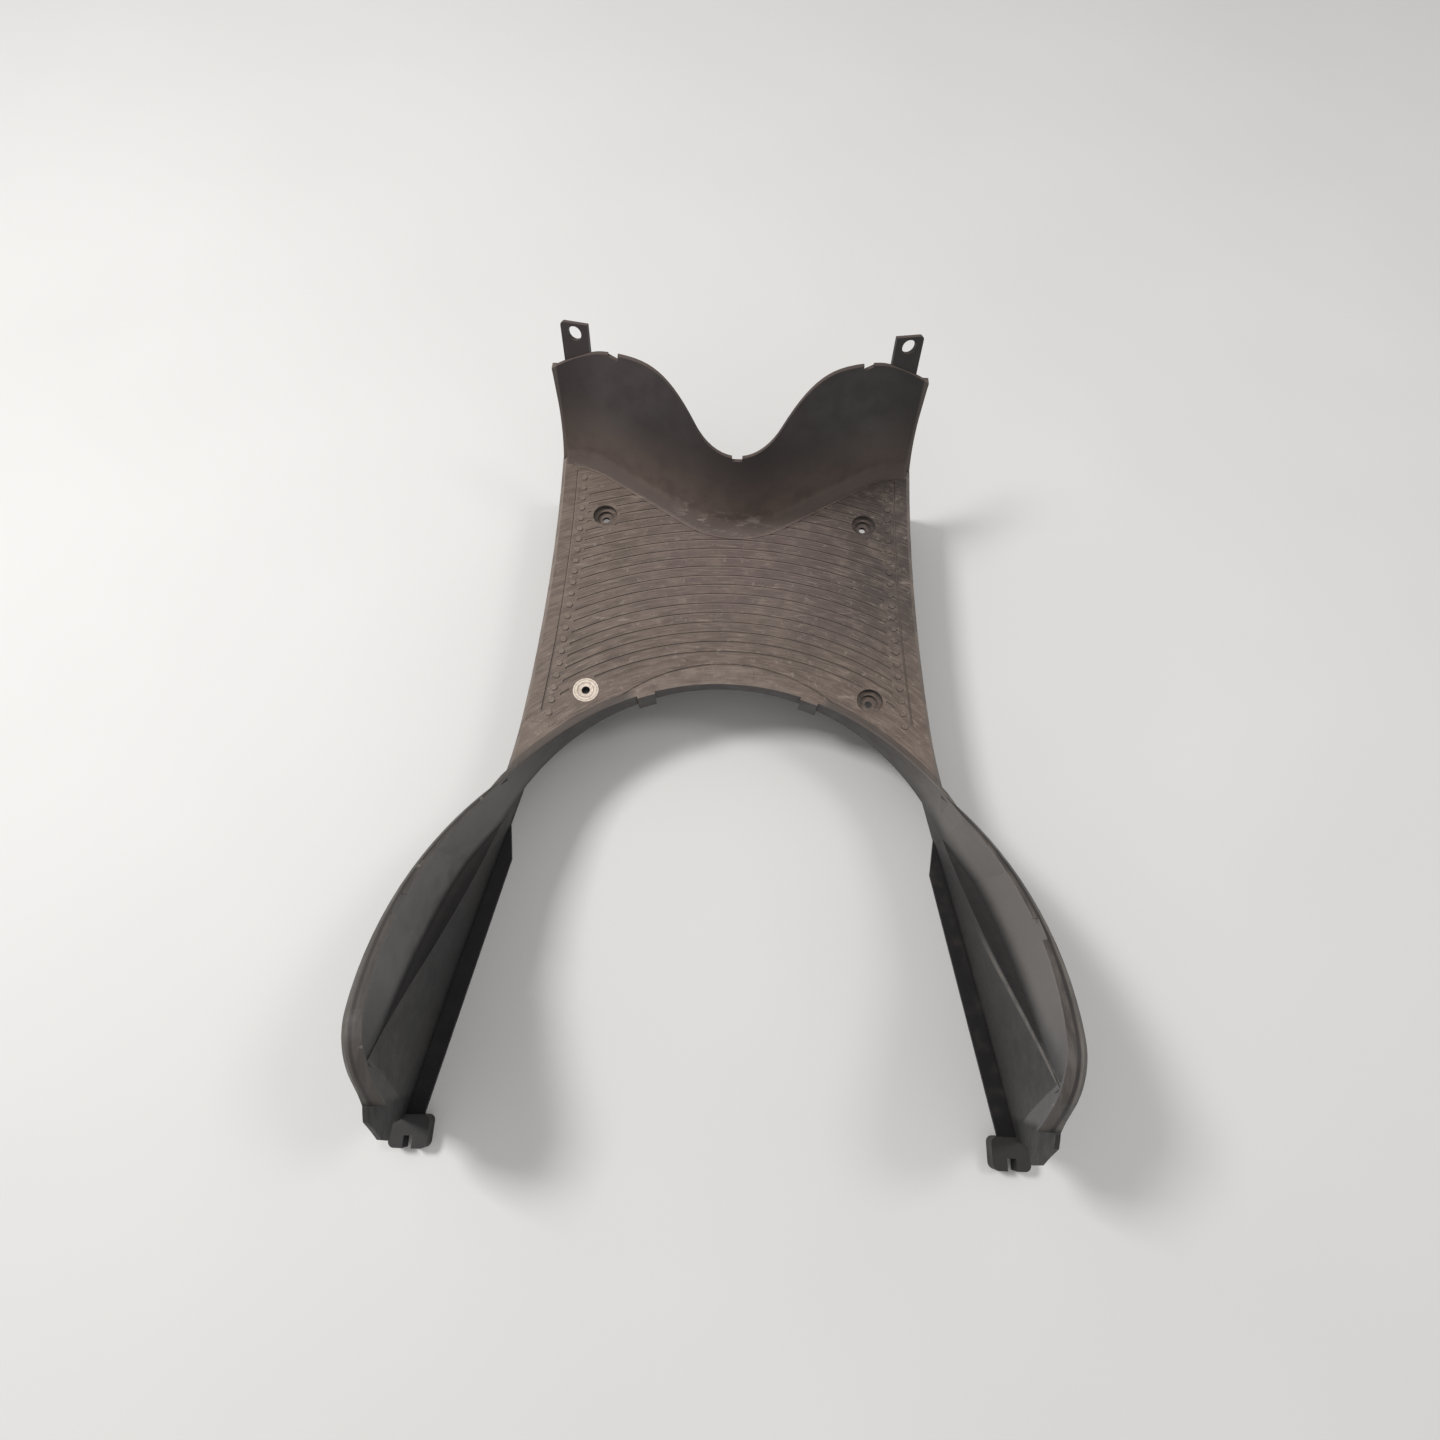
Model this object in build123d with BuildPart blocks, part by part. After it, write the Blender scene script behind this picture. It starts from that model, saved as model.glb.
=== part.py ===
from build123d import *
import os
from math import asin, atan, atan2, cos, degrees, radians, sin, sqrt

# Scooter floorboard, one plastic moulding, with one collar left in a screw cup.
# Millimetres. +Y is forward, +Z up. The board is drawn from the deck's top face
# and then raised, so the origin is the middle of the four screw seats.

# Shell
wall = 3.0
rim_bevel = 3.5

# Deck and skirts
deck_half_width = 170.3
deck_side_radius = 2000.0
waist_y = 50.0
skirt_depth = 80.0
skirt_flare = 8.0

# Wings: a leaning round wall above, a flatter panel below it
wing_swell = 71.2
wing_lean = 0.015
wing_setback = 41.0
tail_y = -440.0
foot_overhang = 19.7
foot_spread = 0.2115
root_y = -162.0
deck_tuck = 64.0
panel_top = 75.0
panel_inset = 1.0

# Arch and the opening between the wings
arch_front_y = -82.0
arch_margin = 26.5
rim_lip = 11.0
lip_notch_y = -294.0
lip_notch_length = 16.0
lip_notch_depth = 4.0
ribbon_depth = 12.0
ribbon_root_depth = 46.0

# Side view of the rim: level deck, slope up, crown, slope down
rim_start_y = -150.0
crown_y = -391.0
crown_height = 101.0
crown_radius = 40.0
rim_bend_radius = 180.0
tail_fall = 1.0

# Side view of the step between the wing's panel and its upper wall
step_root_height = -42.0
step_mid_y = -320.0
step_mid_height = -19.0
step_end_y = -395.0
step_end_height = 58.0

# Side view of the tab at the wing's tail, from its notch down to its foot
tab_notch_y = -424.0
tab_top_y = -433.0
tab_top = 73.0
tab_back_y = -446.0
tab_back_height = 37.0
tab_end_y = -450.0
tab_end_height = -2.0
tab_foot_height = -16.0

# Foot flange along each wing
flange_root_width = 15.0
flange_root_y = -228.0
flange_start_y = -190.0
flange_tail_width = 17.8
flange_flare = 6.0

# Tail brackets
bracket_inset = 27.0
bracket_width = 30.0
bracket_length = 18.0
bracket_height = 14.0
bracket_corner = 5.0
notch_width = 7.0
notch_depth = 9.0

# Apron: plan line of arcs and slants, then its front view
apron_nose_y = 83.0
apron_side_y = 161.0
apron_side_inset = 6.0
bell_radius = 75.0
apron_lean = 0.28
apron_foot_inset = 2.0
apron_waist_inset = 0.6
apron_waist_height = 45.0
apron_corner_flare = 1.5
apron_corner_height = 89.0
hump_x = 80.0
hump_height = 124.5
shoulder_x = 112.0
shoulder_height = 117.5
valley_height = 74.5
valley_radius = 46.0
valley_angle = 55.0
apron_blend = 14.0
edge_notch_width = 9.0
edge_notch_depth = 3.0

# Lugs on the front of the apron
lug_inset = 23.0
lug_width = 25.0
lug_rise = 20.8
lug_lap = 13.0
lug_hole = 12.5
lug_rim = 2.5
lug_thick = 4.0
lug_corner = 3.0

# Screw cups
screw_spacing_x = 250.0
screw_spacing_y = 186.0
screw_hole = 6.5
cup_diameter = 23.0
cup_depth = 5.0
seat_diameter = 16.0
seat_depth = 8.0

# Tread: arc grooves, studs along the sides, a line round the apron
groove_count = 20
groove_pitch = 10.0
groove_width = 1.8
groove_depth = 0.8
groove_start = 32.0
tread_inset = 29.0
border_inset = 15.0
border_front_y = 146.0
border_rear_y = -152.0
stud_inset = 22.5
stud_count = 24
stud_pitch = 12.0
stud_diameter = 6.0
stud_sides = 6
stud_height = 0.9
stud_first_y = -140.0
tread_line_gap = 12.0
tread_line_width = 2.0
tread_line_height = 0.6
crescent_radius = 143.0
crescent_reach = 20.0

# Clips under the arch's edge
clip_angle = 19.6
clip_width = 16.0
clip_drop = 22.0
clip_thick = 4.0

# Collar in the rear left cup
collar_gap = 0.2
collar_bore = 6.5
collar_dish = 0.8

# Widths that follow the deck
wing_radius = deck_half_width + wing_swell
arch_radius = wing_radius - arch_margin
arch_centre_y = arch_front_y - arch_radius
wing_centre_y = arch_centre_y - wing_setback
foot_half_width = deck_half_width + foot_overhang
apron_half_span = deck_half_width - apron_side_inset
apron_foot_half = deck_half_width - apron_foot_inset
apron_waist_half = deck_half_width - apron_waist_inset
apron_corner_x = deck_half_width + apron_corner_flare
lug_x = deck_half_width - lug_inset

# Trimming lengths: longer than the board, and what a later cut takes off
reach = 2 * (apron_side_y - tail_y)
spare = 10 * wall


def side_x(y, half):
    """Half width of the deck at y, on its large side arc."""
    return half + deck_side_radius - sqrt(deck_side_radius**2 - (y - waist_y) ** 2)


def deck_plan(inset, front_y, rear_y):
    """Outline of the deck's top face, drawn in by inset."""
    half = deck_half_width - inset
    front_x = side_x(front_y, half)
    rear_x = side_x(rear_y, half)
    with BuildSketch() as plan:
        with BuildLine():
            ThreePointArc((rear_x, rear_y), (half, waist_y), (front_x, front_y))
            Line((front_x, front_y), (-front_x, front_y))
            ThreePointArc((-front_x, front_y), (-half, waist_y), (-rear_x, rear_y))
            Line((-rear_x, rear_y), (rear_x, rear_y))
        make_face()
    return plan.sketch


def circle_x(radius, y):
    """Half width of the wing circle at y."""
    return sqrt(radius**2 - (y - wing_centre_y) ** 2)


def foot_x(y, inset):
    """Half width of the wing's foot line at y."""
    return foot_half_width + foot_spread * (root_y - y) - inset


def panel_foot(inset, front_y, rear_y):
    """Straight-sided foot outline of the wing panels."""
    front_x = foot_x(front_y, inset)
    rear_x = foot_x(rear_y, inset)
    with BuildSketch(Plane.XY.offset(-skirt_depth)) as plan:
        with BuildLine():
            Polyline(
                (rear_x, rear_y), (front_x, front_y), (-front_x, front_y), (-rear_x, rear_y),
                close=True,
            )
        make_face()
    return plan.sketch


def panel_head(inset, front_y, rear_y):
    """Round-sided top outline of the wing panels."""
    radius = wing_radius - panel_inset - inset
    front_x = circle_x(radius, front_y)
    rear_x = circle_x(radius, rear_y)
    with BuildSketch(Plane.XY.offset(panel_top)) as plan:
        with BuildLine():
            ThreePointArc((rear_x, rear_y), (radius, wing_centre_y), (front_x, front_y))
            Line((front_x, front_y), (-front_x, front_y))
            ThreePointArc((-front_x, front_y), (-radius, wing_centre_y), (-rear_x, rear_y))
            Line((-rear_x, rear_y), (rear_x, rear_y))
        make_face()
    return plan.sketch


# Side view of everything above the rim
far_tail_y = tail_y - 2 * spare
far_tail_height = crown_height - tail_fall * (crown_y - far_tail_y)
with BuildSketch(Plane.YZ) as above_rim:
    with BuildLine():
        FilletPolyline(
            (reach, 0), (rim_start_y, 0), (crown_y, crown_height), (far_tail_y, far_tail_height),
            radius=[rim_bend_radius, crown_radius],
        )
        Polyline((far_tail_y, far_tail_height), (far_tail_y, reach), (reach, reach), (reach, 0))
    make_face()

with BuildSketch(Plane.YZ) as above_lining:
    add(above_rim.sketch_local)
    offset(amount=wall, kind=Kind.INTERSECTION)

# The same for the wing panels, which carry the tab at the tail
tab_notch_height = crown_height - tail_fall * (crown_y - tab_notch_y)
with BuildSketch(Plane.YZ) as above_panel:
    with BuildLine():
        FilletPolyline(
            (reach, 0), (rim_start_y, 0), (crown_y, crown_height), (tab_notch_y, tab_notch_height),
            radius=[rim_bend_radius, crown_radius],
        )
        Polyline(
            (tab_notch_y, tab_notch_height), (tab_top_y, tab_top), (tab_back_y, tab_back_height),
            (tab_end_y, tab_end_height), (tail_y, tab_foot_height), (tail_y, -reach),
            (far_tail_y, -reach), (far_tail_y, reach), (reach, reach), (reach, 0),
        )
    make_face()

with BuildSketch(Plane.YZ) as above_panel_lining:
    add(above_lining.sketch_local)
    with Locations((tab_notch_y, 0)):
        Rectangle(2 * reach, 2 * reach, align=(Align.MAX, Align.CENTER), mode=Mode.SUBTRACT)


# Side view of the wing panels, below the step
def panel_side(lift):
    """Region below the step line, grown by lift."""
    with BuildSketch(Plane.YZ) as region:
        with BuildLine():
            ThreePointArc(
                (root_y, step_root_height + lift),
                (step_mid_y, step_mid_height + lift),
                (step_end_y - lift, step_end_height + lift),
            )
            Polyline(
                (step_end_y - lift, step_end_height + lift), (tail_y - lift, -skirt_depth),
                (tail_y - lift, -reach), (root_y, -reach), (root_y, step_root_height + lift),
            )
        make_face()
    return region.sketch


# The three forms of the shell, each made once outside and once inside
upper_low = -skirt_depth
upper_high = crown_height + spare
deck_front = apron_side_y + spare
deck_rear = root_y - deck_tuck
panel_front = root_y + skirt_depth / 2
upper_front = root_y - 4 * wall


def bevelled_rim(form):
    """Takes off the edges where a form's top faces meet its sides."""
    tops = form.faces().filter_by(lambda f: abs(f.normal_at().X) < 0.001 and f.normal_at().Z > 0.2)
    sides = form.faces().filter_by(lambda f: abs(f.normal_at().X) > 0.5)
    side_edges = [e for face in sides for e in face.edges()]
    rim_edges = [e for face in tops for e in face.edges() if e in side_edges]
    return form.chamfer(rim_bevel, None, rim_edges)


def deck_form(inset, top_face, front_y):
    """Deck with its skirts, below the rim: a slab between two large cones."""
    side_low = -skirt_depth - wall
    side_high = panel_top + wall
    low_radius = deck_side_radius + inset + skirt_flare * side_low / skirt_depth
    high_radius = deck_side_radius + inset + skirt_flare * side_high / skirt_depth
    side_middle = (side_low + side_high) / 2
    axis_x = deck_half_width + deck_side_radius
    with BuildPart() as form:
        with Locations((0, deck_rear, -skirt_depth)):
            Box(
                2 * (foot_half_width + spare), front_y - deck_rear, skirt_depth + panel_top,
                align=(Align.CENTER, Align.MIN, Align.MIN),
            )
        with Locations((-axis_x, waist_y, side_middle), (axis_x, waist_y, side_middle)):
            Cone(low_radius, high_radius, side_high - side_low, mode=Mode.SUBTRACT)
        extrude(top_face, amount=reach, both=True, mode=Mode.SUBTRACT)
    return form.part


def panel_form(inset, top_face, rear_y):
    """Flatter lower panels of the wings."""
    with BuildPart() as form:
        loft(
            sections=[panel_foot(inset, panel_front, rear_y), panel_head(inset, panel_front, rear_y)],
            ruled=True,
        )
        extrude(top_face, amount=reach, both=True, mode=Mode.SUBTRACT)
    return form.part


def upper_form(inset, top_face, rear_y):
    """Leaning round wall of the wings."""
    low_radius = wing_radius + wing_lean * upper_low - inset
    high_radius = wing_radius + wing_lean * upper_high - inset
    with BuildPart() as form:
        with Locations((0, wing_centre_y, (upper_low + upper_high) / 2)):
            Cone(low_radius, high_radius, upper_high - upper_low)
        with Locations((0, (upper_front + rear_y) / 2, 0)):
            Box(2 * reach, upper_front - rear_y, 2 * reach, mode=Mode.INTERSECT)
        extrude(top_face, amount=reach, both=True, mode=Mode.SUBTRACT)
    return form.part


def above_step(form, lift):
    """Cuts away what lies below the step."""
    with BuildPart() as stepped:
        add(form)
        extrude(panel_side(lift), amount=reach, both=True, mode=Mode.SUBTRACT)
    return stepped.part


with BuildPart() as skin:
    add(bevelled_rim(deck_form(0, above_rim.sketch, deck_front)))
    add(panel_form(0, above_panel.sketch, tab_end_y))
    add(above_step(bevelled_rim(upper_form(0, above_rim.sketch, tail_y)), 0))

with BuildPart() as lining:
    add(deck_form(wall, above_lining.sketch, deck_front + wall))
    add(panel_form(wall, above_panel_lining.sketch, tab_end_y - wall))
    add(above_step(upper_form(wall, above_lining.sketch, tail_y - wall), wall))

# Where the arch's hanging wall runs into the wings, and the lip that grows from there
meet_y = (
    (arch_radius + wall) ** 2 - (wing_radius - wall) ** 2 + wing_centre_y**2 - arch_centre_y**2
) / (2 * (wing_centre_y - arch_centre_y))
meet_x = sqrt(arch_radius**2 - (meet_y - arch_centre_y) ** 2)
lip_x = wing_radius - rim_lip
lip_centre_y = (lip_x**2 - meet_x**2 + wing_centre_y**2 - meet_y**2) / (2 * (wing_centre_y - meet_y))
lip_radius = sqrt(lip_x**2 + (wing_centre_y - lip_centre_y) ** 2)
lip_notch_angle = degrees(asin((lip_notch_y - lip_centre_y) / lip_radius))

# Opening between the wings, cut through the top wall only
with BuildSketch(Plane.YZ) as below_top_wall:
    with BuildLine():
        FilletPolyline(
            (reach, -2 * wall), (rim_start_y, -2 * wall), (crown_y, crown_height - 2 * wall),
            (far_tail_y, far_tail_height - 2 * wall), radius=[rim_bend_radius, crown_radius],
        )
        Polyline(
            (far_tail_y, far_tail_height - 2 * wall), (far_tail_y, -reach), (reach, -reach),
            (reach, -2 * wall),
        )
    make_face()

with BuildPart() as opening:
    with BuildSketch(Plane.XY.offset(-skirt_depth)):
        with Locations((0, arch_centre_y)):
            Circle(arch_radius)
        with Locations((0, lip_centre_y)):
            Circle(lip_radius)
            with PolarLocations(lip_radius, 2, lip_notch_angle, 180 - 2 * lip_notch_angle, endpoint=True):
                Rectangle(2 * lip_notch_depth, lip_notch_length)
    extrude(amount=reach)
    extrude(below_top_wall.sketch, amount=reach, both=True, mode=Mode.SUBTRACT)

# Ribbon: the wall that hangs from the arch's edge, deeper towards the wings
with BuildPart() as ribbon:
    with BuildSketch(Plane.XY.offset(-skirt_depth)):
        with Locations((0, arch_centre_y)):
            Circle(arch_radius + wall)
            Circle(arch_radius, mode=Mode.SUBTRACT)
        with Locations((0, meet_y)):
            Rectangle(2 * reach, reach, align=(Align.CENTER, Align.MIN), mode=Mode.INTERSECT)
    extrude(amount=reach)
    with BuildSketch(Plane.YZ):
        with BuildLine():
            Polyline(
                (reach, -ribbon_depth), (arch_front_y, -ribbon_depth), (meet_y, -ribbon_root_depth),
                (-reach, -ribbon_root_depth), (-reach, -reach), (reach, -reach), close=True,
            )
        make_face()
    extrude(amount=reach, both=True, mode=Mode.SUBTRACT)
    add(skin.part, mode=Mode.INTERSECT)

# Foot flanges: narrow floors along the wings, with a straight inner edge
flange_root_x = foot_x(flange_root_y, flange_root_width)
flange_tail_x = foot_x(tail_y, flange_tail_width)
with BuildPart() as flanges:
    with BuildSketch(Plane.XY.offset(-skirt_depth)):
        with BuildLine():
            Polyline(
                (flange_root_x + flange_flare, flange_start_y), (flange_root_x, flange_root_y),
                (flange_tail_x, tail_y), (reach, tail_y), (reach, flange_start_y), close=True,
            )
        make_face()
        mirror(about=Plane.YZ)
    extrude(amount=wall)
    add(skin.part, mode=Mode.INTERSECT)

# Bell line, the plan of the apron's foot: a round nose, two slants, two side arcs
bell_half = deck_half_width + spare
lean_angle = atan(apron_lean)


def bell_region(ahead, squash=1.0):
    """Everything ahead of the bell line, which is moved ahead square to itself."""
    nose_y = apron_nose_y * squash + bell_radius
    side_y = apron_side_y * squash - bell_radius
    drop = side_y - nose_y
    turn = asin(2 * bell_radius / sqrt(apron_half_span**2 + drop**2)) + atan2(drop, apron_half_span)
    near = bell_radius - ahead
    far = bell_radius + ahead
    slant_low = (near * sin(turn), nose_y - near * cos(turn))
    slant_high = (apron_half_span - far * sin(turn), side_y + far * cos(turn))
    with BuildSketch() as region:
        with BuildLine():
            CenterArc((0, nose_y), near, -90 - degrees(turn), 2 * degrees(turn))
            for side in (-1, 1):
                Line((side * slant_low[0], slant_low[1]), (side * slant_high[0], slant_high[1]))
                CenterArc((side * apron_half_span, side_y), far, 90, side * degrees(turn))
                Polyline(
                    (side * apron_half_span, side_y + far), (side * bell_half, side_y + far),
                    (side * bell_half, reach),
                )
            Line((-bell_half, reach), (bell_half, reach))
        make_face()
    return region.sketch


def bell_band(near, far, squash=1.0):
    """Face between two lines that run beside the bell line."""
    with BuildSketch() as band:
        add(bell_region(near, squash))
        add(bell_region(far, squash), mode=Mode.SUBTRACT)
    return band.sketch


# Front view of the apron: a round valley between two humps
valley_x = valley_radius * sin(radians(valley_angle))
valley_side_height = valley_height + valley_radius * (1 - cos(radians(valley_angle)))
with BuildSketch(Plane.XZ) as apron_view:
    with BuildLine():
        ThreePointArc((-valley_x, valley_side_height), (0, valley_height), (valley_x, valley_side_height))
        for side in (-1, 1):
            Spline(
                (side * valley_x, valley_side_height), (side * hump_x, hump_height),
                (side * shoulder_x, shoulder_height), (side * apron_corner_x, apron_corner_height),
                tangents=[
                    (side * cos(radians(valley_angle)), sin(radians(valley_angle))),
                    (side * (apron_corner_x - shoulder_x), apron_corner_height - shoulder_height),
                ],
            )
            ThreePointArc(
                (side * apron_corner_x, apron_corner_height), (side * apron_waist_half, apron_waist_height),
                (side * apron_foot_half, -wall),
            )
        Line((apron_foot_half, -wall), (-apron_foot_half, -wall))
    make_face()
    with Locations((0, valley_height), (shoulder_x, shoulder_height), (-shoulder_x, shoulder_height)):
        Rectangle(edge_notch_width, 2 * edge_notch_depth, mode=Mode.SUBTRACT)

apron_plane = Plane(origin=(0, 0, 0), x_dir=(1, 0, 0), z_dir=(0, apron_lean, 1))
with BuildPart() as apron:
    with BuildSketch(apron_plane):
        add(bell_band(0, wall, cos(lean_angle)))
    extrude(amount=reach, both=True)
    extrude(apron_view.sketch, amount=reach, both=True, mode=Mode.INTERSECT)

# Lugs: flat eyes that lap the front of the apron and stand above its edge
shoulder_slope = (apron_corner_height - shoulder_height) / (apron_corner_x - shoulder_x)
lug_edge_height = shoulder_height + shoulder_slope * (lug_x - shoulder_x)
lug_height = lug_edge_height + lug_rise
lug_turn = asin((apron_half_span - lug_x) / bell_radius)
lug_along = apron_plane.from_local_coords(Vector(cos(lug_turn), sin(lug_turn), 0))
lug_up = Vector(0, apron_lean, 1).normalized()
lug_back = lug_along.cross(lug_up)
lug_foot_y = apron_side_y - bell_radius * (1 - cos(lug_turn)) / cos(lean_angle)
lug_middle = Vector(lug_x, lug_foot_y + apron_lean * lug_height, lug_height) - lug_back * wall / 2
lug_plane = Plane(origin=lug_middle - lug_back * lug_thick / 2, x_dir=lug_along, z_dir=lug_back)
lug_root = -lug_rise - lug_lap
lug_top = lug_hole / 2 + lug_rim
with BuildPart() as lugs:
    with BuildSketch(lug_plane):
        with BuildLine():
            Polyline(
                (-lug_width / 2, lug_root), (lug_width / 2, lug_root), (lug_width / 2, lug_top),
                (-lug_width / 2, lug_top), close=True,
            )
        lug_face = make_face()
        fillet(lug_face.vertices().sort_by(Axis.Z)[-2:], radius=lug_corner)
        Circle(lug_hole / 2, mode=Mode.SUBTRACT)
    extrude(amount=lug_thick / 2, both=True)
    mirror(about=Plane.YZ)

# Tail brackets: notched blocks at the wings' feet
bracket_inner_x = foot_x(tail_y, bracket_inset)
with BuildPart() as brackets:
    with BuildSketch(Plane.XY.offset(-skirt_depth)):
        with Locations((bracket_inner_x, tail_y + wall)):
            RectangleRounded(
                bracket_width, bracket_length + 2 * wall, bracket_corner, align=(Align.MIN, Align.MAX)
            )
        with Locations((bracket_inner_x + bracket_width / 2, tail_y - bracket_length - wall)):
            Rectangle(notch_width, notch_depth, align=(Align.CENTER, Align.MIN), mode=Mode.SUBTRACT)
    extrude(amount=bracket_height)
    mirror(about=Plane.YZ)

# Clips under the arch's edge
clip_circle = arch_radius + (wall - clip_thick) / 2
with BuildPart() as clips:
    with BuildSketch(Plane.XY):
        with Locations((0, arch_centre_y)):
            with PolarLocations(clip_circle, 2, 90 - clip_angle, 2 * clip_angle, endpoint=True):
                Rectangle(clip_thick, clip_width)
    extrude(amount=-clip_drop)

# Tread pattern on the deck
with BuildSketch() as tread_field:
    add(deck_plan(tread_inset, deck_front, deck_rear))
    add(bell_region(-tread_line_gap), mode=Mode.SUBTRACT)

with BuildSketch() as grooves:
    with Locations((0, arch_centre_y)):
        for step in reversed(range(groove_count)):
            middle = arch_radius + groove_start + groove_pitch * step
            Circle(middle + groove_width / 2)
            Circle(middle - groove_width / 2, mode=Mode.SUBTRACT)
    add(tread_field.sketch, mode=Mode.INTERSECT)
    with GridLocations(screw_spacing_x, screw_spacing_y, 2, 2):
        Circle(cup_diameter / 2 + wall, mode=Mode.SUBTRACT)

with BuildSketch() as border_lines:
    add(deck_plan(border_inset, border_front_y, border_rear_y))
    add(
        deck_plan(border_inset + groove_width, border_front_y + wall, border_rear_y - wall),
        mode=Mode.SUBTRACT,
    )

with BuildSketch() as crescent:
    with Locations((0, arch_front_y + crescent_reach - crescent_radius)):
        Circle(crescent_radius)
        Circle(crescent_radius - groove_width, mode=Mode.SUBTRACT)
    with Locations((0, arch_centre_y)):
        Circle(arch_radius + 2 * wall, mode=Mode.SUBTRACT)

with BuildSketch() as tread_line:
    add(bell_band(-tread_line_gap, tread_line_width - tread_line_gap))
    add(deck_plan(border_inset + groove_width, deck_front, deck_rear), mode=Mode.INTERSECT)

stud_ys = [stud_first_y + stud_pitch * step for step in range(stud_count)]
stud_places = [(side * side_x(y, deck_half_width - stud_inset), y) for side in (-1, 1) for y in stud_ys]
with BuildSketch(Plane.XY.offset(-stud_height)) as studs:
    with Locations(*stud_places):
        RegularPolygon(stud_diameter / 2, stud_sides)

hang = (Align.CENTER, Align.CENTER, Align.MAX)
boss_size = cup_diameter + 2 * wall
with BuildPart() as board:
    add(skin.part)
    add(lining.part, mode=Mode.SUBTRACT)
    add(opening.part, mode=Mode.SUBTRACT)
    extrude(bell_region(wall / 2), amount=reach, both=True, mode=Mode.SUBTRACT)
    add(ribbon.part)
    add(flanges.part)
    add(apron.part)
    apron_corner = edges().filter_by_position(Axis.Z, -0.01, 0.01).sort_by_distance((0, apron_nose_y, 0))[0]
    fillet(apron_corner, radius=apron_blend)
    add(lugs.part)
    add(brackets.part)
    add(clips.part)
    with GridLocations(screw_spacing_x, screw_spacing_y, 2, 2):
        with Locations((0, 0, -wall / 2)):
            Box(boss_size, boss_size, seat_depth + wall / 2, align=hang)
        Cylinder(cup_diameter / 2, cup_depth, align=hang, mode=Mode.SUBTRACT)
        CounterBoreHole(screw_hole / 2, seat_diameter / 2, seat_depth)
    extrude(grooves.sketch, amount=-groove_depth, mode=Mode.SUBTRACT)
    extrude(border_lines.sketch, amount=-groove_depth, mode=Mode.SUBTRACT)
    extrude(crescent.sketch, amount=-groove_depth, mode=Mode.SUBTRACT)
    extrude(studs.sketch, amount=2 * stud_height)
    extrude(tread_line.sketch, amount=tread_line_height)

# Collar left in the rear left cup, seated on the cup's ledge
collar_place = (-screw_spacing_x / 2, -screw_spacing_y / 2, 0)
neck = seat_diameter / 2 - collar_gap
brim = cup_diameter / 2 - collar_gap
bore = collar_bore / 2
with BuildPart() as collar:
    with BuildSketch(Plane(origin=collar_place, x_dir=(1, 0, 0), z_dir=(0, -1, 0))):
        with BuildLine():
            Polyline(
                (bore, -seat_depth + collar_gap), (neck, -seat_depth + collar_gap), (neck, -cup_depth),
                (brim, -cup_depth), (brim, 0), (seat_diameter / 2, 0), (bore, -collar_dish), close=True,
            )
        make_face()
    revolve(axis=Axis(collar_place, (0, 0, 1)))

# Both pieces raised, so that the screw seats lie at the origin's height
with BuildPart() as floorboard:
    with Locations((0, 0, seat_depth)):
        add(board.part)

with BuildPart() as rear_left_collar:
    with Locations((0, 0, seat_depth)):
        add(collar.part)

os.makedirs("parts", exist_ok=True)
floorboard.part.label = "floorboard"
export_step(floorboard.part, "parts/floorboard.step")
rear_left_collar.part.label = "rear_left_collar"
export_step(rear_left_collar.part, "parts/rear_left_collar.step")
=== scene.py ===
# %% [markdown]
# # A worn scooter floorboard
# One large plastic moulding with a single collar left in its rear left screw cup. The solid
# model is loaded as a fixed frame, so every surface is already at its real size and place.
# This lesson gives those surfaces their finish, adds three pairs of small trim (fairings on the
# arch's hanging wall, beads along the arch and rolled edges on the apron), and then sets the
# floor, the light and the camera.

from math import atan2, cos, hypot, radians, sin, sqrt
from types import SimpleNamespace

import bmesh
import bpy
from mathutils import Matrix, Vector


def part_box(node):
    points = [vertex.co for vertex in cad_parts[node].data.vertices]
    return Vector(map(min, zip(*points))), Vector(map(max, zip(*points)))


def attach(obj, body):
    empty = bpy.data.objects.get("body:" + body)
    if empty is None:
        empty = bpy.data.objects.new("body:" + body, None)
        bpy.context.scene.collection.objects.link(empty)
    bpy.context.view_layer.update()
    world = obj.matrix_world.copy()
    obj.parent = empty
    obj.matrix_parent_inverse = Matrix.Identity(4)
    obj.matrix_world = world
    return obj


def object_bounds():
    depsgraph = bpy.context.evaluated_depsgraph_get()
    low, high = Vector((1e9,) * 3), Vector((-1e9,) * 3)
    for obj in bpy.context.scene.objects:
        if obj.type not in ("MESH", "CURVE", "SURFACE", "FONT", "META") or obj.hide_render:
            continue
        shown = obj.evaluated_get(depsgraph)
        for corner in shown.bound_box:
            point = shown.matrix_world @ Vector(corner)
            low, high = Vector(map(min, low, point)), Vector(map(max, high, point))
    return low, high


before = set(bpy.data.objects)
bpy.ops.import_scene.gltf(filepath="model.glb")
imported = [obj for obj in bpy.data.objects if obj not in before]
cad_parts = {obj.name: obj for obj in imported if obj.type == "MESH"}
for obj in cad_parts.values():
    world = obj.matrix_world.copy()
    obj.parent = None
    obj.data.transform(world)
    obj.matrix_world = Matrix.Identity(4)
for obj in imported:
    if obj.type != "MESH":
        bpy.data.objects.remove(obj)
cad_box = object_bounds()
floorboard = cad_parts["floorboard"]
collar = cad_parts["rear_left_collar"]
print("nodes:", sorted(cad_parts))

# %% [markdown]
# ## A few helpers for node materials
# A material is a small graph. Writing each node and link by hand is long, so these helpers add
# a node with its settings and connect sockets by name. They keep the finishes below readable.

# %% Helpers for node graphs
def new_material(name):
    """A material with an empty graph that holds one Principled shader."""
    material = bpy.data.materials.new(name)
    material.use_nodes = True
    graph = material.node_tree
    graph.nodes.clear()
    output = graph.nodes.new("ShaderNodeOutputMaterial")
    shader = graph.nodes.new("ShaderNodeBsdfPrincipled")
    graph.links.new(shader.outputs["BSDF"], output.inputs["Surface"])
    return material, graph, shader


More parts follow.
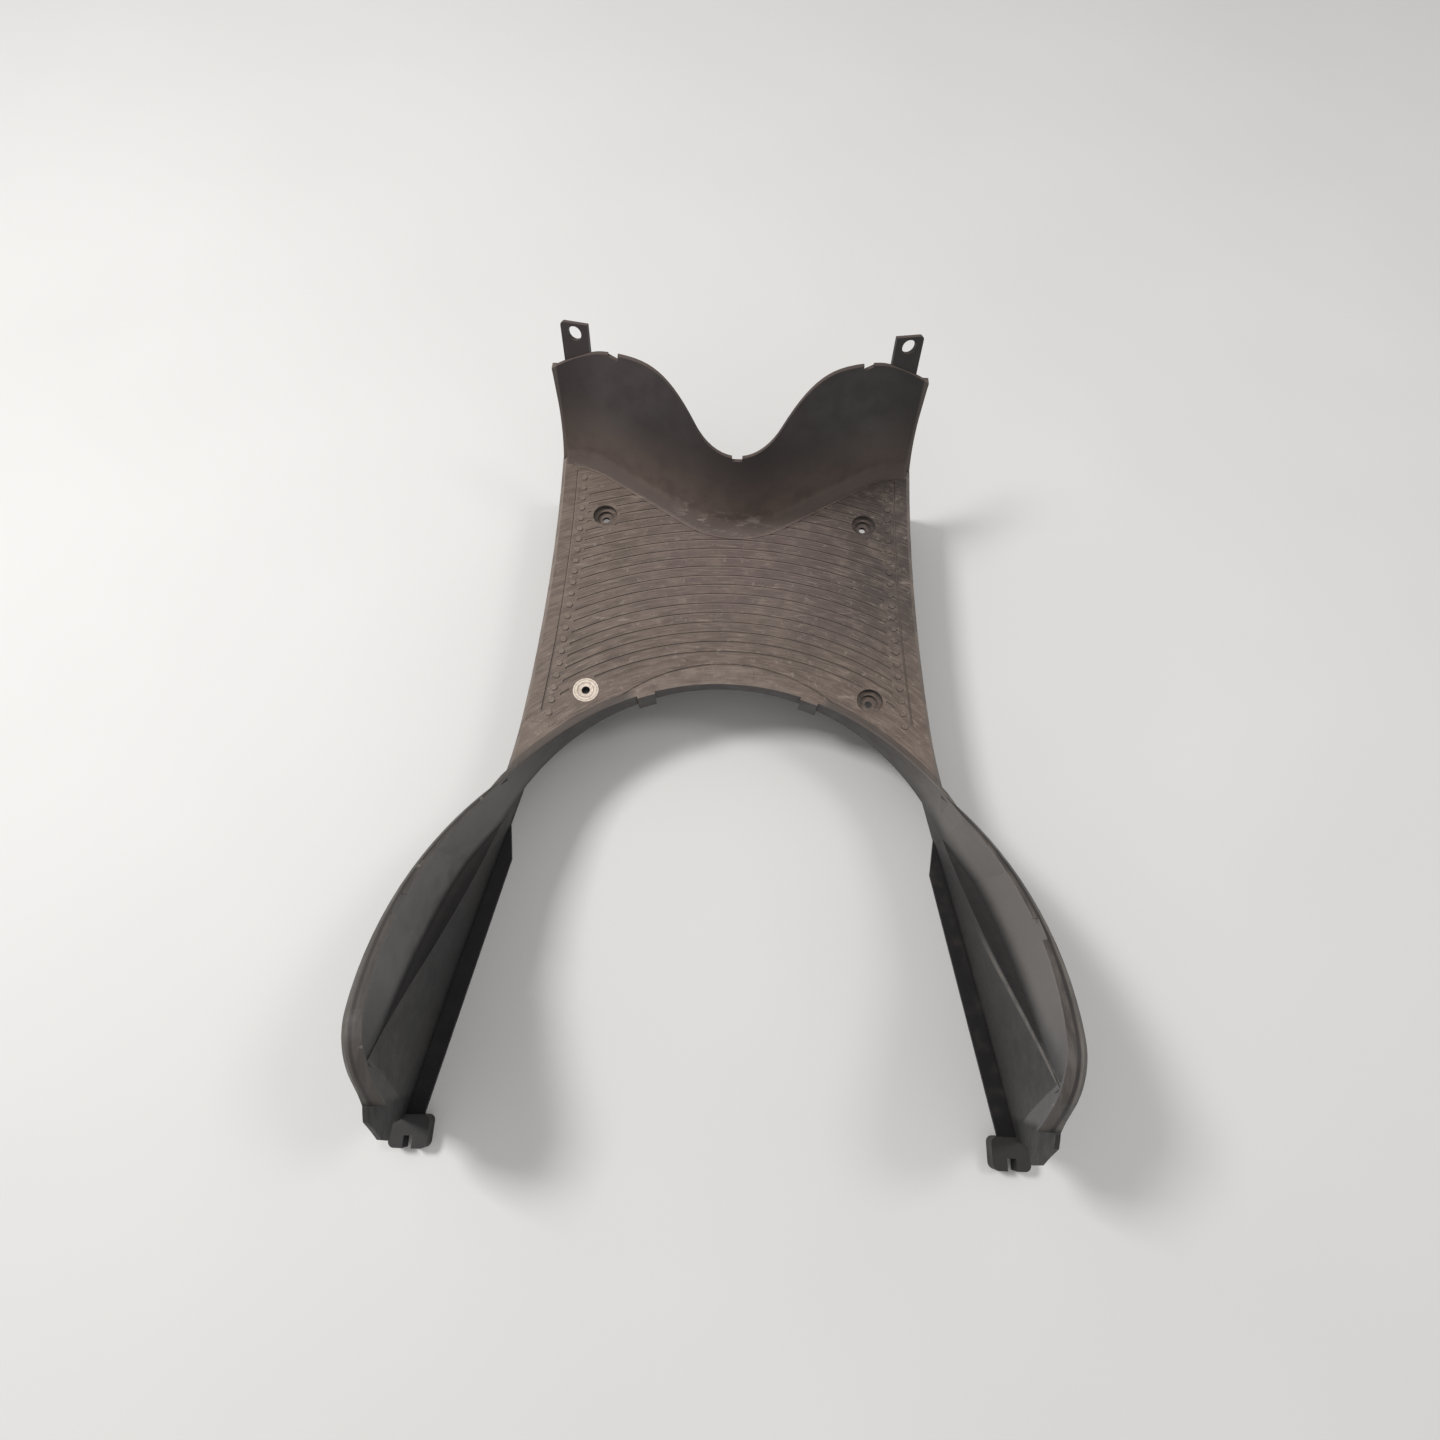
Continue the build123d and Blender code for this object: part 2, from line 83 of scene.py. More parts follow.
def add_node(graph, kind, **settings):
    """A node of that kind with its plain settings."""
    node = graph.nodes.new(kind)
    for key, value in settings.items():
        setattr(node, key, value)
    return node


def feed(graph, socket, value):
    """Links an output to a socket, or sets the socket to a number or colour."""
    if isinstance(value, bpy.types.NodeSocket):
        graph.links.new(value, socket)
    else:
        socket.default_value = value


print("node helpers ready")

# %% Helpers that shape a value
def math_node(graph, operation, first, second=0.0):
    """One sum, product or comparison of two values."""
    node = add_node(graph, "ShaderNodeMath", operation=operation)
    feed(graph, node.inputs[0], first)
    feed(graph, node.inputs[1], second)
    return node.outputs[0]


def product(graph, first, *others):
    """Several values multiplied together."""
    result = first
    for other in others:
        result = math_node(graph, "MULTIPLY", result, other)
    return result


def ramp(graph, value, low, high, out_low=0.0, out_high=1.0):
    """A smooth step of a value from one level to another."""
    node = add_node(graph, "ShaderNodeMapRange", interpolation_type="SMOOTHSTEP")
    feed(graph, node.inputs["Value"], value)
    feed(graph, node.inputs["From Min"], low)
    feed(graph, node.inputs["From Max"], high)
    feed(graph, node.inputs["To Min"], out_low)
    feed(graph, node.inputs["To Max"], out_high)
    return node.outputs["Result"]


def band(graph, value, middle, half_width, softness):
    """One where a value lies within a band, falling to zero on both sides of it."""
    away = math_node(graph, "ABSOLUTE", math_node(graph, "SUBTRACT", value, middle))
    return ramp(graph, away, half_width + softness, half_width)


def mix_colour(graph, share, first, second):
    """A blend of two colours."""
    node = add_node(graph, "ShaderNodeMix", data_type="RGBA")
    feed(graph, node.inputs["Factor"], share)
    feed(graph, node.inputs["A"], first)
    feed(graph, node.inputs["B"], second)
    return node.outputs["Result"]


print("value helpers ready")

# %% Colours and cloudy noise
def srgb(red, green, blue):
    """A colour given as screen values from 0 to 255, as the linear colour that shaders use."""
    def linear(value):
        share = value / 255
        return share / 12.92 if share <= 0.04045 else ((share + 0.055) / 1.055) ** 2.4
    return (linear(red), linear(green), linear(blue), 1.0)


def noise(graph, place, scale, detail=4.0, roughness=0.55, stretch=(1, 1, 1), turn=(0, 0, 0)):
    """Cloudy noise on the object's own coordinates, stretched along its axes."""
    mapping = add_node(graph, "ShaderNodeMapping")
    feed(graph, mapping.inputs["Vector"], place)
    feed(graph, mapping.inputs["Scale"], stretch)
    feed(graph, mapping.inputs["Rotation"], turn)
    node = add_node(graph, "ShaderNodeTexNoise")
    feed(graph, node.inputs["Vector"], mapping.outputs["Vector"])
    feed(graph, node.inputs["Scale"], scale)
    feed(graph, node.inputs["Detail"], detail)
    feed(graph, node.inputs["Roughness"], roughness)
    return node.outputs["Fac"]


print("a mid grey is", [round(part, 3) for part in srgb(128, 128, 128)[:3]])

# %% [markdown]
# ## The moulding: where is which surface?
# The board is black plastic gone grey, and every part of it has aged in its own way; some of its
# tones are painted light and painted shade as well. Painting a texture by hand would need an
# unwrapped mesh. Here the finish instead asks each point where it lies and which way it faces, in the
# frame's own metres, and so finds the deck, its grooves, the leaning apron, the rim of the wings, the
# ledge and the flat foot.

# %% Places on the board
deck_height = 0.008
groove_depth = 0.0008
arch_middle_y = -0.297
arch_radius = 0.215
crescent_middle_y = -0.205
crescent_radius = 0.143
apron_start_y = 0.060
apron_full_y = 0.085
wing_start_y = -0.135
wing_full_y = -0.195
wing_middle_y = -0.338
wing_radius = 0.2415
wing_lean = 0.015
rim_start_y = -0.150
rim_slope = 0.419
crown_y = -0.391
crown_height = 0.109
tail_y = -0.430
foot_height = cad_box[0][2]
print("foot at", round(foot_height, 4))

# %% A wing's panel
step_middle_y = -0.2133
step_middle_height = 0.168
step_radius = 0.2084
panel_rear_y = -0.395
panel_rear_height = 0.066
panel_rear_lean = 0.326


def step_height(graph, y):
    """Height of the step between a wing's panel and its upper wall, an arc in side view."""
    away = math_node(graph, "SUBTRACT", y, step_middle_y)
    drop = math_node(graph, "SUBTRACT", step_radius**2, product(graph, away, away))
    drop = math_node(graph, "SQRT", math_node(graph, "MAXIMUM", drop, 0.0))
    return math_node(graph, "SUBTRACT", step_middle_height, drop)


def ahead_of_panel_rear(graph, y, z):
    """Distance ahead of the panel's rear edge, which leans back towards the foot."""
    below = math_node(graph, "SUBTRACT", panel_rear_height, z)
    edge_y = math_node(graph, "SUBTRACT", panel_rear_y, product(graph, below, panel_rear_lean))
    return math_node(graph, "SUBTRACT", y, edge_y)


print("step is lowest at", round(step_middle_height - step_radius, 4))

# %% Circles and the rim
def radius_about(graph, x, y, middle_y):
    """Distance in plan from a middle on the board's centre line."""
    ahead = math_node(graph, "SUBTRACT", y, middle_y)
    squares = math_node(graph, "ADD", product(graph, x, x), product(graph, ahead, ahead))
    return math_node(graph, "SQRT", squares)


def rim_height(graph, y):
    """Height of the rim's top: level, then a slope up to the crown and one down to the tail."""
    behind = math_node(graph, "MAXIMUM", math_node(graph, "SUBTRACT", rim_start_y, y), 0.0)
    rise = math_node(graph, "ADD", product(graph, behind, rim_slope), deck_height)
    fall = math_node(graph, "ADD", y, crown_height - crown_y)
    return math_node(graph, "MINIMUM", rise, fall)


print("crown at", crown_height, "m above the screw seats")

# %% Masks from place and direction
def surface_point(graph):
    """A point's place and direction, and how far it belongs to each part of the board."""
    place = add_node(graph, "ShaderNodeTexCoord").outputs["Object"]
    spot = add_node(graph, "ShaderNodeSeparateXYZ")
    feed(graph, spot.inputs[0], place)
    facing = add_node(graph, "ShaderNodeSeparateXYZ")
    feed(graph, facing.inputs[0], add_node(graph, "ShaderNodeNewGeometry").outputs["True Normal"])
    x, y, z = spot.outputs["X"], spot.outputs["Y"], spot.outputs["Z"]
    point = SimpleNamespace(place=place, x=x, y=y, z=z, facing_z=facing.outputs["Z"])
    point.aside = math_node(graph, "ABSOLUTE", x)
    point.outward = product(graph, facing.outputs["X"], math_node(graph, "SIGN", x))
    point.up = ramp(graph, point.facing_z, 0.3, 0.9)

    point.wing = ramp(graph, y, wing_start_y, wing_full_y)
    point.from_arch_middle = radius_about(graph, x, y, arch_middle_y)
    wing_radius_at_seats = wing_radius - wing_lean * deck_height
    wing_edge = math_node(graph, "ADD", product(graph, z, wing_lean), wing_radius_at_seats)
    point.rim_in = math_node(graph, "SUBTRACT", wing_edge, radius_about(graph, x, y, wing_middle_y))
    point.below_rim = math_node(graph, "SUBTRACT", rim_height(graph, y), z)
    point.above_step = math_node(graph, "SUBTRACT", z, step_height(graph, y))
    point.ahead_of_rear = ramp(graph, ahead_of_panel_rear(graph, y, z), -0.001, 0.001)
    point.panel = product(graph, point.ahead_of_rear, ramp(graph, point.above_step, 0.0035, 0.0015))

    raised = ramp(graph, z, deck_height + 0.0012, deck_height + 0.0022)
    above_deck = ramp(graph, z, deck_height, deck_height + 0.0001)
    tilted = product(graph, ramp(graph, point.facing_z, 0.998, 0.985), above_deck)
    at_front = ramp(graph, y, apron_start_y, apron_full_y)
    point.apron = product(graph, math_node(graph, "MAXIMUM", raised, tilted), at_front)
    point.groove = band(graph, z, deck_height - groove_depth, 0.0002, 0.0003)
    point.foot = ramp(graph, z, foot_height + 0.012, foot_height + 0.005)
    point.tail = ramp(graph, y, tail_y + 0.010, tail_y + 0.004)
    return point


def arc_noise(graph, point, along, across, detail=4.0):
    """Noise drawn out along circles round the arch's middle, like the tread's own lines."""
    ahead = math_node(graph, "SUBTRACT", point.y, arch_middle_y)
    angle = math_node(graph, "ARCTAN2", point.x, ahead)
    polar = add_node(graph, "ShaderNodeCombineXYZ")
    feed(graph, polar.inputs["X"], product(graph, angle, along))
    feed(graph, polar.inputs["Y"], product(graph, point.from_arch_middle, across))
    return noise(graph, polar.outputs["Vector"], 1.0, detail=detail)


print("masks ready")

# %% [markdown]
# ## The deck: what has happened to it?
# Dust and boot wear have turned the deck a dull brown, with fine pale lines along the tread. A pale
# patch in front of the arch is partly dust and partly painted sheen. The colour is built up as a
# painter would: first the dust, with painted shade to the right, then the wear on top of it, with
# painted highlights on slanted edges and stud tops, then the darker bead beside the arch with a line
# of painted shade in its crease, and last the grooves' fill, paler than the dust at the front as
# painted light. Each layer is one mix of two colours, so that any of them can be toned down by
# itself.

# %% The deck's dust
dust_brown = srgb(92, 79, 71)
dust_tan = srgb(115, 100, 90)
# painted shade: the deck's colour towards the right front
deck_painted_shade = srgb(71, 62, 58)
dust_mauve = srgb(101, 86, 83)
dust_pale = srgb(128, 113, 101)
hair_pale = srgb(146, 131, 118)
hair_dark = srgb(78, 67, 60)
scratch_pale = srgb(156, 142, 130)
scratch_stretch = (0.3, 3.2, 1.0)
scratch_turn = (0, 0, 0.5)


def deck_dust(graph, point, blotch):
    """Brown dust drawn out along the tread, with painted shade to the right and mauve in the middle.
    """
    streak = arc_noise(graph, point, along=9.0, across=230.0)
    deck_tone = mix_colour(graph, ramp(graph, streak, 0.32, 0.68), dust_brown, dust_tan)
    # painted shade, darker towards the right front of the deck
    shade = product(graph, ramp(graph, point.x, -0.06, 0.16), ramp(graph, point.y, -0.12, 0.03))
    deck_tone = mix_colour(graph, shade, deck_tone, deck_painted_shade)
    centre = ramp(graph, point.aside, 0.15, 0.04)
    mauve = product(graph, centre, ramp(graph, point.y, -0.07, 0.02, out_high=0.7))
    deck_tone = mix_colour(graph, mauve, deck_tone, dust_mauve)
    return mix_colour(graph, ramp(graph, blotch, 0.45, 0.75, out_high=0.4), deck_tone, dust_pale)


def deck_scratches(graph, point, deck_tone):
    """Fine pale and dark hairs along the tread, and pale scratches across it."""
    hair = arc_noise(graph, point, along=16.0, across=900.0, detail=3.0)
    deck_tone = mix_colour(graph, ramp(graph, hair, 0.53, 0.68, out_high=0.5), deck_tone, hair_pale)
    deck_tone = mix_colour(graph, ramp(graph, hair, 0.45, 0.32, out_high=0.5), deck_tone, hair_dark)
    scratch = noise(
        graph, point.place, 46.0, detail=7.0, roughness=0.7,
        stretch=scratch_stretch, turn=scratch_turn)
    return mix_colour(graph, ramp(graph, scratch, 0.62, 0.69, out_high=0.45), deck_tone, scratch_pale)


print("dust and scratches ready")

# %% The deck's wear
# the pale patch by the arch: dust with a painted sheen
pale_dust_and_sheen_colour = srgb(134, 120, 110)
pale_patch_softness = 0.004
speck_dark = srgb(76, 65, 59)
fluff_pale = srgb(148, 135, 125)
# slanted edges: wear with a painted highlight
edge_wear_and_highlight = srgb(146, 133, 122)
# stud tops: rubbing with a painted highlight, stronger on the left
stud_rub_and_highlight = srgb(134, 120, 109)


def deck_wear(graph, point, deck_tone, blotch, speck):
    """The pale patch by the arch, partly dust and partly painted sheen, specks and fluff, edges and
    rubbed stud tops with painted highlights.
    """
    from_crescent = radius_about(graph, point.x, point.y, crescent_middle_y)
    crescent = ramp(graph, from_crescent, crescent_radius, crescent_radius - pale_patch_softness)
    patchy = ramp(graph, blotch, 0.3, 0.65, 0.05, 0.5)
    # dust and painted sheen in the crescent by the arch, stronger to the left
    pale_dust_and_sheen = product(graph, crescent, patchy, ramp(graph, point.x, 0.1, -0.02, 0.4, 1.0))
    deck_tone = mix_colour(graph, pale_dust_and_sheen, deck_tone, pale_dust_and_sheen_colour)
    deck_tone = mix_colour(graph, ramp(graph, speck, 0.66, 0.74, out_high=0.55), deck_tone, speck_dark)
    fluff = noise(graph, point.place, 170.0, detail=5.0, roughness=0.7)
    deck_tone = mix_colour(graph, ramp(graph, fluff, 0.58, 0.70, out_high=0.5), deck_tone, fluff_pale)
    # wear and a painted highlight on the slanted edges
    slanted = band(graph, point.facing_z, 0.71, 0.1, 0.1)
    edge_wear_and_highlight_share = product(graph, slanted, ramp(graph, blotch, 0.35, 0.6, 0.2, 0.7))
    deck_tone = mix_colour(graph, edge_wear_and_highlight_share, deck_tone, edge_wear_and_highlight)
    # rubbing and a painted highlight on the stud tops
    stud_top_rub_and_highlight = ramp(graph, point.z, deck_height + 0.0003, deck_height + 0.0008, out_high=0.5)
    stud_top_rub_and_highlight = product(graph, stud_top_rub_and_highlight, ramp(graph, point.x, 0.1, -0.1, 0.2, 0.7))
    return mix_colour(graph, stud_top_rub_and_highlight, deck_tone, stud_rub_and_highlight)


print("landing patch within", crescent_radius, "m of its middle")

# %% The bead's tone, the filled grooves and the whole deck
bead_reach = 0.0046
bead_line_reach = 0.0060
bead_line_share = 0.7
bead_grey = srgb(76, 68, 63)
# painted shade in the crease between the bead and the deck
bead_crease_painted_shade = srgb(58, 50, 46)
# painted light: groove fill paler than the dust to offset the grooves' own shade, less so on the
# right
groove_painted_light_left = srgb(136, 120, 110)
groove_painted_light_right = srgb(106, 93, 86)
fill_rear = srgb(96, 84, 77)
fill_share = 0.65
crescent_line_reach = 0.002


def bead_tones(graph, point, deck_tone):
    """A darker tone on the arch's bead, with a line of painted shade in the crease where it meets the
    deck.
    """
    from_arch = math_node(graph, "SUBTRACT", point.from_arch_middle, arch_radius)
    past_clips = ramp(graph, point.aside, 0.078, 0.092)
    on_bead = ramp(graph, from_arch, bead_reach + 0.001, bead_reach, out_high=0.85)
    deck_tone = mix_colour(graph, product(graph, on_bead, past_clips), deck_tone, bead_grey)
    # a line of painted shade along the bead's crease
    line = band(graph, from_arch, bead_line_reach, 0.0004, 0.0008)
    line = product(graph, line, past_clips, bead_line_share)
    return mix_colour(graph, line, deck_tone, bead_crease_painted_shade)


def groove_fill(graph, point, deck_tone):
    """A fill in the grooves, paler than the dust at the front as painted light against the grooves'
    own shade and less pale to the right, and none in the crescent's own line.
    """
    # painted light in the front grooves, less to the right
    front = mix_colour(graph, ramp(graph, point.x, -0.02, 0.14), groove_painted_light_left, groove_painted_light_right)
    filled = mix_colour(graph, ramp(graph, point.y, -0.07, 0.02), fill_rear, front)
    from_crescent = radius_about(graph, point.x, point.y, crescent_middle_y)
    clear_radius = crescent_radius + crescent_line_reach
    share = ramp(graph, from_crescent, clear_radius, clear_radius + 0.004, out_high=fill_share)
    return mix_colour(graph, product(graph, point.groove, share), deck_tone, filled)


def deck_colour(graph, point, blotch, speck):
    """The deck's layers, from the dust up."""
    deck_tone = deck_scratches(graph, point, deck_dust(graph, point, blotch))
    deck_tone = deck_wear(graph, point, deck_tone, blotch, speck)
    return groove_fill(graph, point, bead_tones(graph, point, deck_tone))


print("deck colours ready")

# %% [markdown]
# ## The apron and the wings
# The apron is charcoal, with painted shade to the right and a brown haze low down that is partly dust
# and partly painted light, and its nose is scuffed where boots touch it. Its sides are paler, wear
# with a painted highlight. The wings are cleaner: an outer edge of wear and painted sheen, a dark
# line inside it that is painted shade for a groove, the left lip in painted shade, grey walls
# lightened by painted light and paler on the right, painted shade at their rear and in the valley
# above the step, a ledge in painted shade, a pale crease of wear and painted highlight, and a black
# foot. Each surface has a short function of its own, so its colours can be tuned without touching the
# others.

# %% Apron colours
charcoal_dark = srgb(50, 44, 43)
charcoal = srgb(61, 53, 51)
# painted shade: the apron darker towards the right
charcoal_right_painted_shade = srgb(49, 46, 45)
# the brown haze low on the apron: dust with painted light, stronger to the left
haze_dust_and_light = srgb(106, 91, 83)
blend_brown = srgb(86, 74, 68)
# the apron's sides paler: wear with a painted highlight
side_wear_and_highlight = srgb(112, 102, 95)
scuff_pale = srgb(150, 138, 130)
haze_top = 0.085
apron_side_x = 0.1665


def apron_colour(graph, point, blotch, cloudy):
    """Charcoal with painted shade to the right and a brown haze, partly dust and partly painted
    light, that thins out upwards; paler sides of wear and painted highlight, and pale scuffs by the
    nose's foot.
    """
    plain = mix_colour(graph, cloudy, charcoal_dark, charcoal)
    # painted shade on the apron's right
    plain = mix_colour(graph, ramp(graph, point.x, -0.06, 0.12, out_high=0.85), plain, charcoal_right_painted_shade)
    # dust and painted light low on the apron
    low = ramp(graph, point.z, haze_top, deck_height)
    patchy = ramp(graph, blotch, 0.3, 0.65, 0.7, 1.0)
    haze = product(graph, low, patchy, ramp(graph, point.x, 0.2, -0.05, 0.6, 1.0))
    hazy = mix_colour(graph, haze, plain, haze_dust_and_light)
    hazy = mix_colour(graph, ramp(graph, point.facing_z, 0.4, 0.85, out_high=0.85), hazy, blend_brown)
    # wear and a painted highlight on the apron's sides
    at_side = ramp(graph, point.aside, apron_side_x, apron_side_x + 0.002, out_high=0.5)
    hazy = mix_colour(graph, at_side, hazy, side_wear_and_highlight)
    rub = noise(graph, point.place, 90.0, detail=6.0, roughness=0.7, stretch=(0.5, 1.6, 1.6))
    near_nose = band(graph, point.x, -0.01, 0.025, 0.03)
    nose_foot = product(graph, ramp(graph, point.z, 0.035, 0.012), near_nose)
    scuff = product(graph, nose_foot, ramp(graph, rub, 0.51, 0.62, out_high=0.65))
    return mix_colour(graph, scuff, hazy, scuff_pale)


print("haze ends", haze_top, "m up")

# %% The wings' rim
lip_dark = srgb(66, 61, 58)
lip_brown = srgb(92, 85, 79)
# painted shade: the dark line of a groove on the lip
lip_groove_painted_shade = srgb(40, 37, 36)
# the lip's pale outer edge: wear with a painted sheen
lip_wear_and_sheen = srgb(104, 99, 93)
# painted shade on the left wing's lip
lip_left_painted_shade = srgb(56, 51, 47)
lip_chipped = srgb(158, 149, 139)
lip_line_share = 0.8
line_in_front = 0.0038
line_in_rear = 0.0068


def lip_colour(graph, point, blotch):
    """The rim's top: a pale outer edge of wear and painted sheen, a dark line of painted shade for a
    groove, a brown inner bead, and painted shade on the left lip.
    """
    run = noise(graph, point.place, 60.0, detail=6.0, roughness=0.65, stretch=(2.5, 0.5, 0.5))
    bead = mix_colour(graph, ramp(graph, run, 0.35, 0.65), lip_dark, lip_brown)
    line_in = ramp(graph, point.y, -0.20, -0.38, line_in_front, line_in_rear)
    # painted shade of a groove along the lip
    past_line = math_node(graph, "SUBTRACT", point.rim_in, line_in)
    line = product(graph, band(graph, past_line, 0.0, 0.0007, 0.001), lip_line_share)
    lined = mix_colour(graph, line, bead, lip_groove_painted_shade)
    # wear and painted sheen on the lip's outer edge
    outside_line = ramp(graph, past_line, -0.0009, -0.0027)
    rim_wear_and_sheen = product(graph, outside_line, ramp(graph, run, 0.3, 0.6, 0.45, 1.0))
    edged = mix_colour(graph, rim_wear_and_sheen, lined, lip_wear_and_sheen)
    # painted shade on the left lip
    edged = mix_colour(graph, ramp(graph, point.x, 0.05, -0.05, out_high=0.45), edged, lip_left_painted_shade)
    return mix_colour(graph, ramp(graph, blotch, 0.66, 0.72, out_high=0.6), edged, lip_chipped)


print("lip line", line_in_front * 1000, "to", line_in_rear * 1000, "mm in from the edge")

# %% The wings' walls
# painted light: the upper wall lighter than the plastic, and paler still on the right
wall_painted_light_grey = srgb(98, 96, 95)
wall_painted_light_pale = srgb(110, 107, 105)
wall_right_painted_light = srgb(118, 113, 109)
# painted shade at the rear of the wings' walls, darker on the left
wall_rear_left_painted_shade = srgb(56, 55, 54)
wall_rear_right_painted_shade = srgb(84, 83, 84)
# painted shade in the valley above the step
valley_painted_shade = srgb(48, 48, 49)
valley_reach_left = 0.018
valley_reach_right = 0.032


def upper_wall_colour(graph, point, blotch):
    """Grey plastic lightened as painted light and paler still on the right, with painted shade to the
    rear and in the valley above the step.
    """
    # painted light on the upper wall, more on the right
    wall = mix_colour(graph, ramp(graph, blotch, 0.3, 0.7), wall_painted_light_grey, wall_painted_light_pale)
    wall = mix_colour(graph, ramp(graph, point.x, 0.0, 0.1, out_high=0.7), wall, wall_right_painted_light)
    # painted shade towards the rear of the wall
    to_right = ramp(graph, point.x, -0.05, 0.05)
    rear_painted_shade = mix_colour(graph, to_right, wall_rear_left_painted_shade, wall_rear_right_painted_shade)
    wall = mix_colour(graph, ramp(graph, point.y, -0.33, -0.40, out_high=0.8), wall, rear_painted_shade)
    # painted shade in the valley just above the step
    reach = ramp(graph, point.x, -0.05, 0.05, valley_reach_left, valley_reach_right)
    near_step = ramp(graph, point.above_step, reach, 0.002, out_high=0.85)
    return mix_colour(graph, product(graph, point.ahead_of_rear, near_step), wall, valley_painted_shade)


print("valley reaches", valley_reach_left, "and", valley_reach_right, "m above the step")

# %% The panel, the ledge and the crease
panel_dark = srgb(50, 49, 49)
panel_grey = srgb(60, 58, 56)
# painted shade on the ledge, paler near the rim's edge and darker on the right
ledge_painted_shade = srgb(42, 41, 42)
ledge_painted_half_shade = srgb(84, 82, 81)
ledge_right_painted_shade = srgb(30, 30, 31)
# the crease's pale edge: wear with a painted highlight, on the right wing only
crease_wear_and_highlight_colour = srgb(118, 113, 108)


def inner_wall_colour(graph, point, blotch, cloudy):
    """Inside a wing: wall above the step, panel below it, a ledge in painted shade and a pale crease
    of wear and painted highlight.
    """
    wall = upper_wall_colour(graph, point, blotch)
    panel = mix_colour(graph, cloudy, panel_dark, panel_grey)
    colour = mix_colour(graph, point.panel, wall, panel)
    # the ledge's painted shade
    ledge = product(graph, point.up, ramp(graph, point.below_rim, 0.016, 0.022))
    near_edge = ramp(graph, point.rim_in, 0.013, 0.004, out_high=0.6)
    ledge_shade = mix_colour(graph, near_edge, ledge_painted_shade, ledge_painted_half_shade)
    ledge_shade = mix_colour(graph, ramp(graph, point.x, 0.0, 0.1, out_high=0.6), ledge_shade, ledge_right_painted_shade)
    colour = mix_colour(graph, ledge, colour, ledge_shade)
    # wear and a painted highlight along the crease
    at_step = band(graph, point.above_step, -0.002, 0.0018, 0.0025)
    patchy = ramp(graph, blotch, 0.35, 0.55, 0.3, 0.75)
    to_rear = ramp(graph, point.y, -0.27, -0.32)
    crease_wear_and_highlight = product(graph, at_step, patchy, to_rear, ramp(graph, point.x, 0.0, 0.1))
    return mix_colour(graph, crease_wear_and_highlight, colour, crease_wear_and_highlight_colour)


print("inner wall colours ready")

# %% The outer walls
skirt_dark = srgb(66, 63, 62)
skirt_grey = srgb(80, 76, 73)
splash_brown = srgb(112, 100, 90)


def outer_wall_colour(graph, point, blotch, cloudy):
    """The outside of skirts and wings: grey plastic with splashed dirt towards the foot."""
    plain = mix_colour(graph, cloudy, skirt_dark, skirt_grey)
    low = ramp(graph, point.z, 0.0, foot_height)
    splash = product(graph, low, ramp(graph, blotch, 0.42, 0.66, 0.1, 0.6))
    return mix_colour(graph, splash, plain, splash_brown)


print("outer wall colours ready")

# %% [markdown]
# Now the colours meet in one shader. The masks decide which colour a point shows, the tail and
# the foot are darkened last, and a fine grain bump keeps the plastic from looking polished. One
# material for the whole moulding leaves no hard seam where two of its parts meet.

# %% One colour for the whole moulding
underside_grey = srgb(58, 56, 55)
tail_grey = srgb(40, 38, 37)
tab_black = srgb(25, 24, 24)
foot_black = srgb(28, 26, 27)
mud_brown = srgb(60, 52, 46)
tab_height = foot_height + 0.016
tail_share = 0.9
foot_share = 0.9


def moulding_colour(graph, point, blotch, cloudy, speck):
    """Each part of the board in its own colour, painted light and shade included, with the tail and
    the foot darkened last.
    """
    colour = outer_wall_colour(graph, point, blotch, cloudy)
    colour = mix_colour(graph, ramp(graph, point.facing_z, -0.5, -0.8), colour, underside_grey)
    inside = product(graph, ramp(graph, point.outward, 0.2, -0.1), point.wing)
    colour = mix_colour(graph, inside, colour, inner_wall_colour(graph, point, blotch, cloudy))
    lip = lip_colour(graph, point, blotch)
    top = mix_colour(graph, point.wing, deck_colour(graph, point, blotch, speck), lip)
    on_top = product(graph, point.up, ramp(graph, point.below_rim, 0.02, 0.012))
    colour = mix_colour(graph, on_top, colour, top)
    colour = mix_colour(graph, point.apron, colour, apron_colour(graph, point, blotch, cloudy))
    tab = ramp(graph, point.z, tab_height, tab_height + 0.008)
    tail_tone = mix_colour(graph, tab, tail_grey, tab_black)
    colour = mix_colour(graph, product(graph, point.tail, tail_share), colour, tail_tone)
    patchy = ramp(graph, blotch, 0.5, 0.75, out_high=0.7)
    mud = product(graph, patchy, ramp(graph, point.x, 0.0, 0.1, 0.15, 1.0))
    stained = mix_colour(graph, mud, foot_black, mud_brown)
    return mix_colour(graph, product(graph, point.foot, foot_share), colour, stained)


print("moulding colour ready")

# %% The moulding's finish
cloud_scale = 8.0
blotch_scale = 60.0
speck_scale = 420.0
grain_strength = 0.2
grain_height = 0.0004
plastic_shine = 0.4


def moulding_finish():
    """Worn grey plastic with a fine grain, duller where the apron turns into the deck."""
    material, graph, shader = new_material("worn_moulding")
    point = surface_point(graph)
    cloudy = ramp(graph, noise(graph, point.place, cloud_scale), 0.35, 0.7)
    blotch = noise(graph, point.place, blotch_scale, detail=5.0)
    speck = noise(graph, point.place, speck_scale, detail=2.0)
    feed(graph, shader.inputs["Base Color"], moulding_colour(graph, point, blotch, cloudy, speck))
    turned = product(graph, point.apron, ramp(graph, point.facing_z, 0.3, 0.7, out_high=0.8))
    uneven = ramp(graph, blotch, 0.3, 0.7, 0.46, 0.64)
    feed(graph, shader.inputs["Roughness"], math_node(graph, "MAXIMUM", uneven, turned))
    shader.inputs["Specular IOR Level"].default_value = plastic_shine
    bump = add_node(graph, "ShaderNodeBump")
    feed(graph, bump.inputs["Strength"], grain_strength)
    feed(graph, bump.inputs["Distance"], grain_height)
    feed(graph, bump.inputs["Height"], math_node(graph, "ADD", speck, blotch))
    feed(graph, shader.inputs["Normal"], bump.outputs["Normal"])
    return material


